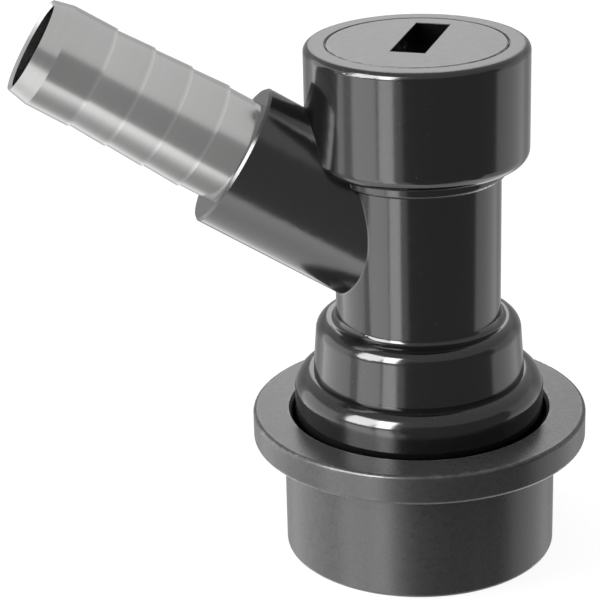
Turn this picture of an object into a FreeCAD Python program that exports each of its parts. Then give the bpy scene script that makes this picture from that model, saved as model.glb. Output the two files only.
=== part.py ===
import FreeCAD, Part
import Sketcher
import os

# Ball-lock quick coupling for a beverage keg post.
# Origin: the centre of the socket's mouth. +Z runs up the body, towards the cap.
# The side arm and its hose tail lean up and out over -X. Lengths are in mm, angles in degrees.

SIZES = {
    # socket that takes the keg post
    "socket_bore_radius": 8.75,
    "socket_bore_depth": 15.6,
    "socket_wall": 2.25,
    "seal_shelf": 0.85,
    "seal_bore_depth": 6.8,
    # bell that covers the collar spring
    "bell_bottom": 14.2,
    "bell_height": 5.0,
    "bell_wall": 0.65,
    "bell_roof": 2.0,
    "bell_flat": 0.15,
    # bulge, neck, step ring and drum
    "bell_shelf": 2.35,
    "bulge_height": 5.7,
    "bulge_flare": 0.4,
    "bulge_flat": 0.05,
    "neck_foot_round": 0.6,
    "neck_wall": 2.3,
    "neck_height": 15.3,
    "step_shelf": 0.6,
    "step_height": 1.3,
    "step_round": 0.4,
    "drum_rim": 2.15,
    "drum_height": 11.8,
    "drum_top_round": 0.7,
    "drum_bottom_round": 1.3,
    # valve inside the neck
    "port_radius": 3.6,
    "port_length": 3.1,
    "seat_height": 2.0,
    "chamber_radius": 6.0,
    "poppet_travel": 2.5,
    "pin_radius": 1.7,
    "pin_reach": 2.9,
    "pin_nose": 0.7,
    "fin_count": 4,
    "fin_thickness": 0.9,
    "fin_length": 5.4,
    "lip_inset": 1.0,
    "lip_thickness": 0.45,
    "head_gap": 0.7,
    "head_thickness": 1.9,
    "stem_radius": 1.8,
    "stem_engagement": 1.1,
    "seat_ring_inset": 1.0,
    "seat_ring_wire": 0.85,
    "poppet_spring_radius": 3.4,
    "poppet_spring_wire": 0.35,
    "poppet_spring_turns": 6,
    # cap
    "cap_shelf": 1.75,
    "cap_thickness": 6.0,
    "cap_edge": 0.15,
    "spigot_shelf": 1.2,
    "spigot_length": 3.1,
    "cap_ring_wire": 0.8,
    "guide_room": 0.6,
    "slot_length": 10.7,
    "slot_width": 3.5,
    "slot_depth": 2.9,
    "slot_angle": 67,
    "slot_shift": 1.6,
    # side arm
    "arm_height": 32.0,
    "arm_angle": 32,
    "arm_root": 4.0,
    "boss_side_wall": 0.65,
    "boss_deck": 2.15,
    "boss_drop": 0.3,
    "boss_edge": 0.25,
    "passage_radius": 3.4,
    # hose tail
    "shank_radius": 5.2,
    "shank_length": 8.8,
    "shank_seat_wall": 1.86,
    "tail_ring_wire": 0.7,
    "tail_ring_setback": 4.2,
    "tail_length": 22.1,
    "tail_ring_floor": 0.31,
    "bore_taper_length": 1.5,
    "crest_radius": 5.47,
    "crest_taper": 0.08,
    "barb_step": 0.15,
    "barb_pitch": 4.05,
    "barb_count": 3,
    "barb_margin": 3.45,
    "lead_in_length": 2.0,
    "lead_in_depth": 0.45,
    "tip_chamfer": 0.3,
    "tip_lip": 0.13,
    # sliding collar
    "collar_height": 15.0,
    "flange_overhang": 3.15,
    "flange_thickness": 3.05,
    "flange_edge": 0.35,
    "skirt_wall": 0.8,
    "skirt_edge": 0.4,
    "skirt_root_round": 0.5,
    "mouth_gap": 0.4,
    "mouth_chamfer": 0.3,
    "ledge_thickness": 0.98,
    "foot_wall": 0.85,
    "collar_lift": 3.4,
    # retaining ring
    "ring_base": 2.4,
    "ring_thickness": 0.8,
    "ring_room": 0.25,
    "ring_groove_depth": 0.5,
    "ring_opening": 40,
    # locking balls
    "ball_radius": 1.75,
    "ball_count": 6,
    "ball_height": 6.6,
    "ball_protrusion": 0.8,
    "ball_travel": 0.85,
    "ball_relief_depth": 0.2,
    "ball_relief_height": 4.0,
    "ball_hole_gap": 0.05,
    "ball_seat_angle": 25,
    "ball_seat_gap": 0.03,
    # collar spring
    "collar_spring_wire": 0.4,
    "collar_spring_turns": 4,
    "collar_spring_gap": 0.1,
    # running and sealing clearances
    "slide_gap": 0.08,
    "fit_gap": 0.05,
    "seal_gap": 0.02,
}

doc = FreeCAD.newDocument("quick_coupling")
sheet = doc.addObject("Spreadsheet::Sheet", "sizes")
for row, (alias, number) in enumerate(SIZES.items(), start=1):
    sheet.set(f"A{row}", str(number))
    sheet.setAlias(f"A{row}", alias)
doc.recompute()


def size(alias):
    """The sheet's cell of that alias, as a term of an expression."""
    return f"sizes.{alias}"


def total(*terms):
    """The sum of some expressions, as one expression."""
    return "(" + " + ".join(terms) + ")"


def less(first, *terms):
    """The first expression less the others."""
    return "(" + " - ".join((first,) + terms) + ")"


def value(expression):
    """What an expression of the sheet's sizes comes to, as a number."""
    result = sheet.evalExpression(expression)
    return float(getattr(result, "Value", result))


# heights of the moulded body, stacked from the socket's mouth upwards
BELL_TOP = total(size("bell_bottom"), size("bell_height"))
BULGE_TOP = total(BELL_TOP, size("bulge_height"))
NECK_TOP = total(BULGE_TOP, size("neck_height"))
DRUM_BOTTOM = total(NECK_TOP, size("step_height"))
DRUM_TOP = total(DRUM_BOTTOM, size("drum_height"))
BELL_ROOF = less(BELL_TOP, size("bell_roof"))
SOCKET_RADIUS = total(size("socket_bore_radius"), size("socket_wall"))
SEAL_BORE = less(size("socket_bore_radius"), size("seal_shelf"))
SPRING_REACH = total(SOCKET_RADIUS, "2 * " + size("collar_spring_gap"), "2 * " + size("collar_spring_wire"))
BELL_RADIUS = total(SPRING_REACH, size("bell_wall"))
NECK_RADIUS = total(size("chamber_radius"), size("neck_wall"))
BULGE_RADIUS = less(BELL_RADIUS, size("bell_shelf"))
STEP_RADIUS = total(NECK_RADIUS, size("step_shelf"))
SOCKET_ROOF = total(size("socket_bore_depth"), size("seal_bore_depth"))
SEAT_BOTTOM = total(SOCKET_ROOF, size("port_length"))
CHAMBER_FLOOR = total(SEAT_BOTTOM, size("seat_height"))
CAP_SEAT = less(DRUM_TOP, size("cap_thickness"))
CHAMBER_ROOF = less(CAP_SEAT, size("spigot_length"))
SPIGOT_BORE = total(size("chamber_radius"), size("spigot_shelf"))
SPIGOT_RADIUS = less(SPIGOT_BORE, "2 * " + size("fit_gap"))
CAP_RADIUS = total(SPIGOT_RADIUS, size("cap_shelf"))
CAP_BORE = total(CAP_RADIUS, size("fit_gap"))
DRUM_RADIUS = total(CAP_BORE, size("drum_rim"))
CAP_RING_SPACE = total(size("cap_ring_wire"), size("seal_gap"))
CAP_RING_HEIGHT = f"({CHAMBER_ROOF} + {size('spigot_length')} / 2)"
SHANK_BORE = total(size("shank_radius"), size("fit_gap"))

# the shank's bore ends a wall's thickness from the valve chamber, and the boss holds all of the shank
SHANK_CORNER = f"({SHANK_BORE} * sin({size('arm_angle')}))"
SHANK_OUTSET = total(size("chamber_radius"), size("shank_seat_wall"), SHANK_CORNER)
SHANK_SEAT = f"({SHANK_OUTSET} / cos({size('arm_angle')}))"
BOSS_REACH = total(SHANK_SEAT, size("fit_gap"), size("shank_length"))
BOSS_HALF_WIDTH = total(SHANK_BORE, size("boss_side_wall"))
BOSS_HALF_HEIGHT = total(SHANK_BORE, size("boss_deck"))

# ramp of the collar, as a slope, a tilt and the radius it has at the balls' height
RAMP_SLOPE = f"({size('ball_travel')} / {size('collar_lift')})"
RAMP_TILT = f"atan{RAMP_SLOPE}"
BALL_REACH = total(less(size("socket_bore_radius"), size("ball_protrusion")), size("ball_radius"))
BALL_SPACE = total(size("ball_radius"), size("ball_seat_gap"))
RAMP_RADIUS = f"({BALL_REACH} + {BALL_SPACE} / cos({RAMP_TILT}))"
GUIDE_RADIUS = total(SOCKET_RADIUS, size("slide_gap"))
RAMP_TOP = f"({size('ball_height')} + ({RAMP_RADIUS} - {GUIDE_RADIUS}) / {RAMP_SLOPE})"
LEDGE_TOP = total(RAMP_TOP, size("ledge_thickness"))
RING_TOP = total(size("ring_base"), size("ring_thickness"))
RAMP_FOOT = f"({RAMP_RADIUS} + ({size('ball_height')} - {RING_TOP}) * {RAMP_SLOPE})"
MOUTH_RADIUS = total(BELL_RADIUS, size("mouth_gap"))
SKIRT_RADIUS = total(MOUTH_RADIUS, size("skirt_wall"))
FLANGE_RADIUS = total(SKIRT_RADIUS, size("flange_overhang"))
FOOT_BORE = less(SKIRT_RADIUS, size("foot_wall"))
RING_RADIUS = less(FOOT_BORE, size("ring_room"))
FLANGE_BOTTOM = less(size("collar_height"), size("flange_thickness"))

# valve seat: its slope, and where the rubber ring of the poppet touches it
SEAT_WIDTH = less(size("chamber_radius"), size("port_radius"))
SEAT_TILT = f"atan({size('seat_height')} / {SEAT_WIDTH})"
SEAT_RING_RADIUS = less(size("chamber_radius"), size("seat_ring_inset"))
SEAT_CONTACT = f"({SEAT_BOTTOM} + ({SEAT_RING_RADIUS} - {size('port_radius')}) * tan({SEAT_TILT}))"
RING_SPACE = total(size("seat_ring_wire"), size("seal_gap"))
SEAL_RADIUS = f"({SEAT_RING_RADIUS} - {RING_SPACE} * sin({SEAT_TILT}))"
SEAL_HEIGHT = f"({SEAT_CONTACT} + {RING_SPACE} * cos({SEAT_TILT}))"
SEAL_ROOT = less(SEAL_RADIUS, RING_SPACE)
LIP_RADIUS = less(SEAT_RING_RADIUS, size("lip_inset"))
LIP_TOP = less(SEAL_HEIGHT, RING_SPACE)
LIP_BOTTOM = less(LIP_TOP, size("lip_thickness"))
HEAD_RADIUS = less(size("chamber_radius"), size("head_gap"))
HEAD_BOTTOM = total(SEAL_HEIGHT, RING_SPACE)
HEAD_TOP = total(HEAD_BOTTOM, size("head_thickness"))
PIN_TIP = less(SOCKET_ROOF, size("pin_reach"))
STEM_TOP = total(CHAMBER_ROOF, size("stem_engagement"))
GUIDE_TOP = total(STEM_TOP, size("poppet_travel"), size("guide_room"))


def along_arm(reach, offset):
    """The point at that reach along the arm's axis and that offset to its upper side, in X and Z."""
    tilt = size("arm_angle")
    across = f"({offset} * sin({tilt}) - {reach} * cos({tilt}))"
    up = f"({size('arm_height')} + {reach} * sin({tilt}) + {offset} * cos({tilt}))"
    return across, up


def new_body(label):
    """An empty PartDesign body with that label."""
    body = doc.addObject("PartDesign::Body", label)
    body.Label = label
    return body


def origin_feature(body, role):
    """The plane or axis of the body's own origin with that role."""
    return next(item for item in body.Origin.OriginFeatures if item.Role == role)


def bind_point(sketch, edge, end, across, up):
    """Hold one end of a sketch edge at a place given by two expressions."""
    if across == "0":
        sketch.addConstraint(Sketcher.Constraint("PointOnObject", edge, end, -2))
    else:
        held = sketch.addConstraint(
            Sketcher.Constraint("DistanceX", -1, 1, edge, end, value(across)))
        sketch.setExpression(f"Constraints[{held}]", across)
    if up == "0":
        sketch.addConstraint(Sketcher.Constraint("PointOnObject", edge, end, -1))
    else:
        held = sketch.addConstraint(
            Sketcher.Constraint("DistanceY", -1, 1, edge, end, value(up)))
        sketch.setExpression(f"Constraints[{held}]", up)


def outline(body, name, corners, plane="XZ_Plane", axis=None):
    """A closed sketch through the corners, each a pair of expressions, with a turning axis if given."""
    sketch = body.newObject("Sketcher::SketchObject", name)
    sketch.AttachmentSupport = (origin_feature(body, plane), "")
    sketch.MapMode = "FlatFace"
    places = [FreeCAD.Vector(value(across), value(up), 0) for across, up in corners]
    count = len(corners)
    for edge in range(count):
        sketch.addGeometry(Part.LineSegment(places[edge], places[(edge + 1) % count]), False)
    for edge in range(count):
        sketch.addConstraint(Sketcher.Constraint("Coincident", edge, 2, (edge + 1) % count, 1))
    for edge, (across, up) in enumerate(corners):
        bind_point(sketch, edge, 1, across, up)
    if axis is not None:
        ends = [FreeCAD.Vector(value(across), value(up), 0) for across, up in axis]
        line = sketch.addGeometry(Part.LineSegment(*ends), True)
        bind_point(sketch, line, 1, *axis[0])
        bind_point(sketch, line, 2, *axis[1])
    return sketch


def turned(body, name, corners, cut=False, axis=None, angle=None):
    """A form turned from an outline about the body's Z axis, or about an axis drawn in the outline."""
    sketch = outline(body, name + "Outline", corners, axis=axis)
    kind = "PartDesign::Groove" if cut else "PartDesign::Revolution"
    feature = body.newObject(kind, name)
    feature.Profile = sketch
    feature.ReferenceAxis = (sketch, ["Axis0" if axis else "V_Axis"])
    feature.Angle = 360
    if angle is not None:
        feature.setExpression("Angle", angle)
    doc.recompute()
    return feature


def rims(feature, radius, across, up):
    """Names of the feature's round edges with that radius and with their centre there in X and Z."""
    near = 1e-4
    centre = FreeCAD.Vector(value(across), 0, value(up))
    names = []
    for index, edge in enumerate(feature.Shape.Edges, start=1):
        curve = edge.Curve
        if not isinstance(curve, Part.Circle):
            continue
        if abs(curve.Radius - value(radius)) < near and curve.Center.distanceToPoint(centre) < near:
            names.append(f"Edge{index}")
    if not names:
        raise ValueError(f"no rim of {feature.Label} at radius {radius}, height {up}")
    return names


def rounded(body, name, feature, edges, rounding):
    """A fillet on those edges of the feature, its radius given by an expression."""
    fillet = body.newObject("PartDesign::Fillet", name)
    fillet.Base = (feature, edges)
    fillet.setExpression("Radius", rounding)
    body.Tip = fillet
    doc.recompute()
    return fillet


def around(body, name, feature, count):
    """Copies of a feature spread evenly about the body's Z axis."""
    pattern = body.newObject("PartDesign::PolarPattern", name)
    pattern.Originals = [feature]
    pattern.Axis = (origin_feature(body, "Z_Axis"), [""])
    pattern.Angle = 360
    pattern.setExpression("Occurrences", count)
    body.Tip = pattern
    doc.recompute()
    return pattern


def rectangle(low_across, low_up, high_across, high_up):
    """Four corners of an upright rectangle."""
    return [(low_across, low_up), (high_across, low_up), (high_across, high_up), (low_across, high_up)]


def bar_along_arm(start, stop, radius):
    """Outline and axis of a round bar on the arm, from one reach to another."""
    axis = [along_arm(start, "0"), along_arm(stop, "0")]
    return axis + [along_arm(stop, radius), along_arm(start, radius)], axis


def boss(body):
    """The side arm: a bar of oval section, higher than it is wide, up to the face for the tail."""
    across, up = along_arm(size("arm_root"), f"(-1 * {size('boss_drop')})")
    sketch = body.newObject("Sketcher::SketchObject", "BossOutline")
    sketch.AttachmentSupport = (origin_feature(body, "YZ_Plane"), "")
    sketch.MapMode = "FlatFace"
    place = f"placement(vector(0; {up}; {across}); rotation(0; 0; {size('arm_angle')}))"
    sketch.setExpression("AttachmentOffset", place)
    high, wide = value(BOSS_HALF_HEIGHT), value(BOSS_HALF_WIDTH)
    centre = FreeCAD.Vector(0, 0, 0)
    oval = sketch.addGeometry(
        Part.Ellipse(FreeCAD.Vector(0, high, 0), FreeCAD.Vector(wide, 0, 0), centre), False)
    sketch.exposeInternalGeometry(oval)
    upright, level = oval + 1, oval + 2
    sketch.addConstraint(Sketcher.Constraint("Coincident", oval, 3, -1, 1))
    sketch.addConstraint(Sketcher.Constraint("PointOnObject", upright, 1, -2))
    for line, half in ((upright, BOSS_HALF_HEIGHT), (level, BOSS_HALF_WIDTH)):
        held = sketch.addConstraint(Sketcher.Constraint("Distance", line, 2 * value(half)))
        sketch.setExpression(f"Constraints[{held}]", f"2 * {half}")
    bar = body.newObject("PartDesign::Pad", "Boss")
    bar.Profile = sketch
    bar.Reversed = True
    bar.setExpression("Length", less(BOSS_REACH, size("arm_root")))
    doc.recompute()
    face = FreeCAD.Vector(*(value(term) for term in (along_arm(BOSS_REACH, "0")[0], "0",
                                                     along_arm(BOSS_REACH, "0")[1])))
    ends = [f"Edge{index}" for index, edge in enumerate(bar.Shape.Edges, start=1)
            if isinstance(edge.Curve, Part.Ellipse) and edge.CenterOfMass.distanceToPoint(face) < high]
    bevel = body.newObject("PartDesign::Chamfer", "BossEdge")
    bevel.Base = (bar, ends)
    bevel.setExpression("Size", size("boss_edge"))
    body.Tip = bevel
    doc.recompute()


def valve_body():
    """The black moulding: socket, bell, bulge, neck, drum and side arm, with the bores through them."""
    body = new_body("valve_body")
    form = turned(body, "Form", [
        ("0", "0"), (SOCKET_RADIUS, "0"),
        (SOCKET_RADIUS, size("bell_bottom")), (BELL_RADIUS, size("bell_bottom")),
        (BELL_RADIUS, BELL_TOP), (total(BULGE_RADIUS, size("bulge_flare")), BELL_TOP),
        (BULGE_RADIUS, BULGE_TOP), (NECK_RADIUS, BULGE_TOP),
        (NECK_RADIUS, NECK_TOP), (STEP_RADIUS, NECK_TOP),
        (STEP_RADIUS, DRUM_BOTTOM), (DRUM_RADIUS, DRUM_BOTTOM),
        (DRUM_RADIUS, DRUM_TOP), ("0", DRUM_TOP)])
    bulge_round = less(BULGE_RADIUS, NECK_RADIUS, size("neck_foot_round"), size("bulge_flat"))
    bell_round = less(size("bell_shelf"), size("bulge_flare"), size("bell_flat"))
    rounds = [("BellRound", BELL_RADIUS, BELL_TOP, bell_round),
              ("BulgeRound", BULGE_RADIUS, BULGE_TOP, bulge_round),
              ("NeckFoot", NECK_RADIUS, BULGE_TOP, size("neck_foot_round")),
              ("StepRound", STEP_RADIUS, NECK_TOP, size("step_round")),
              ("DrumFoot", DRUM_RADIUS, DRUM_BOTTOM, size("drum_bottom_round")),
              ("DrumEdge", DRUM_RADIUS, DRUM_TOP, size("drum_top_round"))]
    for name, radius, height, rounding in rounds:
        form = rounded(body, name, form, rims(form, radius, "0", height), rounding)

    boss(body)

    relief = total(size("socket_bore_radius"), size("ball_relief_depth"))
    relief_foot = f"({size('ball_height')} - {size('ball_relief_height')} / 2)"
    relief_top = f"({size('ball_height')} + {size('ball_relief_height')} / 2)"
    turned(body, "Waterway", [
        ("0", "0"), (size("socket_bore_radius"), "0"),
        (size("socket_bore_radius"), relief_foot), (relief, relief_foot),
        (relief, relief_top), (size("socket_bore_radius"), relief_top),
        (size("socket_bore_radius"), size("socket_bore_depth")),
        (SEAL_BORE, size("socket_bore_depth")),
        (SEAL_BORE, SOCKET_ROOF), (size("port_radius"), SOCKET_ROOF),
        (size("port_radius"), SEAT_BOTTOM), (size("chamber_radius"), CHAMBER_FLOOR),
        (size("chamber_radius"), CHAMBER_ROOF), (SPIGOT_BORE, CHAMBER_ROOF),
        (SPIGOT_BORE, CAP_SEAT), (CAP_BORE, CAP_SEAT),
        (CAP_BORE, less(DRUM_TOP, size("cap_edge"))),
        (total(CAP_BORE, size("cap_edge")), DRUM_TOP), ("0", DRUM_TOP)], cut=True)
    turned(body, "SpringSpace", rectangle(
        SOCKET_RADIUS, size("bell_bottom"),
        SPRING_REACH, BELL_ROOF), cut=True)
    turned(body, "RingGroove", rectangle(
        less(SOCKET_RADIUS, size("ring_groove_depth")), less(size("ring_base"), size("fit_gap")),
        total(SOCKET_RADIUS, size("fit_gap")), total(RING_TOP, size("fit_gap"))), cut=True)
    corners, axis = bar_along_arm("0", SHANK_SEAT, size("passage_radius"))
    turned(body, "SidePassage", corners, cut=True, axis=axis)
    beyond = total(BOSS_REACH, size("fit_gap"))
    corners, axis = bar_along_arm(SHANK_SEAT, beyond, SHANK_BORE)
    turned(body, "ShankBore", corners, cut=True, axis=axis)

    hole = total(size("ball_radius"), size("ball_hole_gap"))
    seat_tilt = size("ball_seat_angle")
    flare = f"({BALL_SPACE} / cos({seat_tilt}))"
    inside = less(SEAL_BORE, size("ball_protrusion"))
    outside = total(SOCKET_RADIUS, size("fit_gap"))
    level = size("ball_height")
    hole_foot = f"({BALL_REACH} + ({hole} - {flare}) / tan({seat_tilt}))"
    throat = f"({level} + {flare} - ({BALL_REACH} - {inside}) * tan({seat_tilt}))"
    ball_hole = turned(body, "BallHole", [
        (inside, level), (outside, level), (outside, total(level, hole)),
        (hole_foot, total(level, hole)), (inside, throat)],
        cut=True, axis=[(inside, level), (outside, level)])
    around(body, "BallHoles", ball_hole, size("ball_count"))
    return body


def top_cap():
    """The screw-in cap: a slotted plug with a spigot that holds its ring and guides the poppet's stem."""
    body = new_body("top_cap")
    foot = total(CHAMBER_ROOF, size("fit_gap"))
    groove_foot = less(CAP_RING_HEIGHT, CAP_RING_SPACE)
    groove_top = total(CAP_RING_HEIGHT, CAP_RING_SPACE)
    groove_root = less(SPIGOT_BORE, "2 * " + CAP_RING_SPACE)
    guide = total(size("stem_radius"), size("fit_gap"))
    plug = turned(body, "Plug", [
        (guide, foot), (SPIGOT_RADIUS, foot), (SPIGOT_RADIUS, groove_foot),
        (groove_root, groove_foot), (groove_root, groove_top), (SPIGOT_RADIUS, groove_top),
        (SPIGOT_RADIUS, CAP_SEAT), (CAP_RADIUS, CAP_SEAT),
        (CAP_RADIUS, less(DRUM_TOP, size("cap_edge"))),
        (less(CAP_RADIUS, size("cap_edge")), DRUM_TOP), ("0", DRUM_TOP),
        ("0", GUIDE_TOP), (guide, GUIDE_TOP)])
    half_long = f"({size('slot_length')} / 2)"
    half_wide = f"({size('slot_width')} / 2)"
    turn = size("slot_angle")

    def slot_corner(long_side, wide_side):
        """A corner of the slot, shifted along the slot and turned about the cap's axis."""
        along = f"({size('slot_shift')} + {long_side} * {half_long})"
        across = f"({along} * cos({turn}) - {wide_side} * {half_wide} * sin({turn}))"
        up = f"({along} * sin({turn}) + {wide_side} * {half_wide} * cos({turn}))"
        return across, up

    sides = [(-1, -1), (1, -1), (1, 1), (-1, 1)]
    sketch = outline(body, "SlotOutline", [slot_corner(*side) for side in sides], plane="XY_Plane")
    sketch.setExpression("AttachmentOffset.Base.z", DRUM_TOP)
    slot = body.newObject("PartDesign::Pocket", "Slot")
    slot.Profile = sketch
    slot.setExpression("Length", size("slot_depth"))
    doc.recompute()
    if slot.Shape.Volume >= plug.Shape.Volume:
        raise ValueError("the slot cuts nothing")
    return body


def poppet():
    """The valve pin: a pointed pin with guide fins, a head with the groove of its ring, and a stem."""
    body = new_body("poppet")
    nose_radius = less(size("pin_radius"), size("pin_nose"))
    form = turned(body, "Pin", [
        ("0", PIN_TIP), (nose_radius, PIN_TIP), (size("pin_radius"), total(PIN_TIP, size("pin_nose"))),
        (size("pin_radius"), LIP_BOTTOM), (LIP_RADIUS, LIP_BOTTOM),
        (LIP_RADIUS, LIP_TOP), (SEAL_ROOT, LIP_TOP), (SEAL_ROOT, HEAD_BOTTOM),
        (HEAD_RADIUS, HEAD_BOTTOM), (HEAD_RADIUS, HEAD_TOP),
        (size("stem_radius"), HEAD_TOP), (size("stem_radius"), STEM_TOP), ("0", STEM_TOP)])
    fin_radius = less(size("port_radius"), "2 * " + size("fit_gap"))
    inner = f"({size('pin_radius')} / 2)"
    sketch = outline(body, "FinOutline", rectangle(
        inner, less(LIP_BOTTOM, size("fin_length")), fin_radius, LIP_BOTTOM))
    fin = body.newObject("PartDesign::Pad", "Fin")
    fin.Profile = sketch
    fin.Midplane = True
    fin.setExpression("Length", size("fin_thickness"))
    doc.recompute()
    if fin.Shape.Volume <= form.Shape.Volume:
        raise ValueError("the fin adds nothing")
    around(body, "Fins", fin, size("fin_count"))
    return body


def hose_tail():
    """The stainless tail: a shank held in the arm and a tube with shallow barbs that face the arm."""
    body = new_body("hose_tail")
    face = BOSS_REACH
    tip = total(face, size("tail_length"))
    shank_end = total(SHANK_SEAT, size("fit_gap"))
    ring_space = total(size("tail_ring_wire"), size("seal_gap"))
    ring_reach = less(face, size("tail_ring_setback"))
    ring_root = less(SHANK_BORE, "2 * " + ring_space)
    waterway = less(ring_root, size("tail_ring_floor"))
    shank = size("shank_radius")
    corners = [
        (shank_end, waterway), (shank_end, shank),
        (less(ring_reach, ring_space), shank), (less(ring_reach, ring_space), ring_root),
        (total(ring_reach, ring_space), ring_root), (total(ring_reach, ring_space), shank),
        (face, shank)]
    barbs = int(value(size("barb_count")))
    last_root = less(size("crest_radius"), size("barb_step"))
    corners.append((face, last_root))
    for index in range(barbs + 1):
        place = f"({face} + {size('barb_margin')} + {index} * {size('barb_pitch')})"
        crest = f"({size('crest_radius')} - {index} * {size('crest_taper')})"
        corners.append((place, less(crest, size("barb_step"))))
        corners.append((place, crest))
    neck_of_tip = less(tip, size("lead_in_length"))
    tip_radius = less(crest, size("lead_in_depth"))
    mouth = less(tip_radius, size("tip_lip"))
    bore = less(mouth, size("tip_chamfer"))
    bore_start = total(face, size("bore_taper_length"))
    corners += [
        (neck_of_tip, crest), (tip, tip_radius), (tip, mouth),
        (less(tip, size("tip_chamfer")), bore), (bore_start, bore), (face, waterway)]
    places = [along_arm(reach, radius) for reach, radius in corners]
    turned(body, "Tube", places, axis=[along_arm(shank_end, "0"), along_arm(tip, "0")])
    return body


def locking_collar():
    """The sliding collar: flange, skirt, spring ledge, guide, the ramp over the balls and the foot."""
    body = new_body("locking_collar")
    form = turned(body, "Form", [
        (FOOT_BORE, "0"), (SKIRT_RADIUS, "0"),
        (SKIRT_RADIUS, FLANGE_BOTTOM), (FLANGE_RADIUS, FLANGE_BOTTOM),
        (FLANGE_RADIUS, size("collar_height")),
        (total(MOUTH_RADIUS, size("mouth_chamfer")), size("collar_height")),
        (MOUTH_RADIUS, less(size("collar_height"), size("mouth_chamfer"))),
        (MOUTH_RADIUS, LEDGE_TOP), (GUIDE_RADIUS, LEDGE_TOP),
        (GUIDE_RADIUS, RAMP_TOP), (RAMP_FOOT, RING_TOP), (FOOT_BORE, RING_TOP)])
    edges = [("SkirtEdge", SKIRT_RADIUS, "0", "skirt_edge"),
             ("SkirtRoot", SKIRT_RADIUS, FLANGE_BOTTOM, "skirt_root_round"),
             ("FlangeFoot", FLANGE_RADIUS, FLANGE_BOTTOM, "flange_edge"),
             ("FlangeTop", FLANGE_RADIUS, size("collar_height"), "flange_edge")]
    for name, radius, height, alias in edges:
        form = rounded(body, name, form, rims(form, radius, "0", height), size(alias))
    return body


def collar_retaining_ring():
    """The flat split ring, snapped into the groove of the socket, that the collar comes down on."""
    body = new_body("collar_retaining_ring")
    inner = total(less(SOCKET_RADIUS, size("ring_groove_depth")), size("fit_gap"))
    turned(body, "Ring", rectangle(inner, size("ring_base"), RING_RADIUS, RING_TOP),
           angle=less("360", size("ring_opening")))
    return body


def rubber_ring(label, radius, wire, height):
    """A rubber ring about the Z axis, by its mean radius, the radius of its section and its height."""
    ring = doc.addObject("Part::Torus", label)
    ring.Label = label
    ring.setExpression("Radius1", radius)
    ring.setExpression("Radius2", wire)
    ring.setExpression("Placement.Base.z", height)
    return ring


def tail_o_ring():
    """The rubber ring in the groove of the hose tail's shank, square to the arm."""
    wire = size("tail_ring_wire")
    ring_radius = less(SHANK_BORE, wire, size("seal_gap"))
    ring = rubber_ring("tail_o_ring", ring_radius, wire, "0")
    reach = less(BOSS_REACH, size("tail_ring_setback"))
    across, up = along_arm(reach, "0")
    ring.Placement.Rotation = FreeCAD.Rotation(FreeCAD.Vector(0, -1, 0), 1)
    ring.setExpression("Placement.Rotation.Angle", f"90 - {size('arm_angle')}")
    ring.setExpression("Placement.Base.x", across)
    ring.setExpression("Placement.Base.z", up)
    return ring


def coil_spring(label, radius, wire, turns, bottom, top):
    """A coil spring between two seats, by its mean radius, wire radius, turns and seat heights.

    Each half turn is half a ring, tilted so that it climbs across the coil. Its ends are level,
    so it runs smoothly into the next one, on the other side.
    """
    start = total(bottom, wire, size("seal_gap"))
    climb = f"(({top} - {wire} - {size('seal_gap')} - {start}) / (2 * {turns}))"
    tilt = f"atan({climb} / (2 * {radius}))"
    halves = []
    for index in range(int(value(f"2 * {turns}"))):
        half = doc.addObject("Part::Torus", f"{label}_half_{index + 1}")
        half.Angle3 = 180
        half.setExpression("Radius1", f"{radius} / cos({tilt})")
        half.setExpression("Radius2", wire)
        place = f"vector(0; 0; {start} + {climb} * ({index} + 0.5))"
        side = 180 * (index % 2)
        half.setExpression("Placement", f"placement({place}; rotation({side}; {tilt}; 0))")
        halves.append(half)
    spring = doc.addObject("Part::MultiFuse", label)
    spring.Label = label
    spring.Shapes = halves
    spring.Refine = True
    return spring


def locking_ball(index):
    """One steel ball of the lock, in its hole of the socket's wall."""
    ball = doc.addObject("Part::Sphere", f"locking_ball_{index + 1}")
    ball.Label = f"locking_ball_{index + 1}"
    turn = f"({index} * 360 / {size('ball_count')})"
    ball.setExpression("Radius", size("ball_radius"))
    ball.setExpression("Placement.Base.x", f"{BALL_REACH} * cos({turn})")
    ball.setExpression("Placement.Base.y", f"{BALL_REACH} * sin({turn})")
    ball.setExpression("Placement.Base.z", size("ball_height"))
    return ball


parts = [valve_body(), top_cap(), poppet(), hose_tail(), locking_collar(), collar_retaining_ring()]
cap_ring_radius = less(SPIGOT_BORE, CAP_RING_SPACE)
parts.append(rubber_ring("cap_o_ring", cap_ring_radius, size("cap_ring_wire"), CAP_RING_HEIGHT))
parts.append(rubber_ring("poppet_seal", SEAL_RADIUS, size("seat_ring_wire"), SEAL_HEIGHT))
parts.append(tail_o_ring())
parts.append(coil_spring("poppet_spring", size("poppet_spring_radius"), size("poppet_spring_wire"),
                         size("poppet_spring_turns"), HEAD_TOP, CHAMBER_ROOF))
spring_radius = total(SOCKET_RADIUS, size("collar_spring_gap"), size("collar_spring_wire"))
parts.append(coil_spring("collar_spring", spring_radius, size("collar_spring_wire"),
                         size("collar_spring_turns"), LEDGE_TOP, BELL_ROOF))
for index in range(int(value(size("ball_count")))):
    parts.append(locking_ball(index))
doc.recompute()

for item in doc.Objects:
    if "Invalid" in item.State or "Error" in item.State:
        raise ValueError(f"{item.Label} failed: {item.State}")
for part in parts:
    if part.Shape.isNull() or not part.Shape.isValid() or len(part.Shape.Solids) != 1:
        raise ValueError(f"{part.Label} is not one sound solid")

os.makedirs("parts", exist_ok=True)
for part in parts:
    part.Shape.exportStep(f"parts/{part.Label}.step")
    print(part.Label, round(part.Shape.Volume, 2))
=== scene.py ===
import math

import bpy
import numpy as np
from bpy.props import FloatProperty, FloatVectorProperty, IntProperty, PointerProperty
from mathutils import Matrix, Vector


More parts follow.
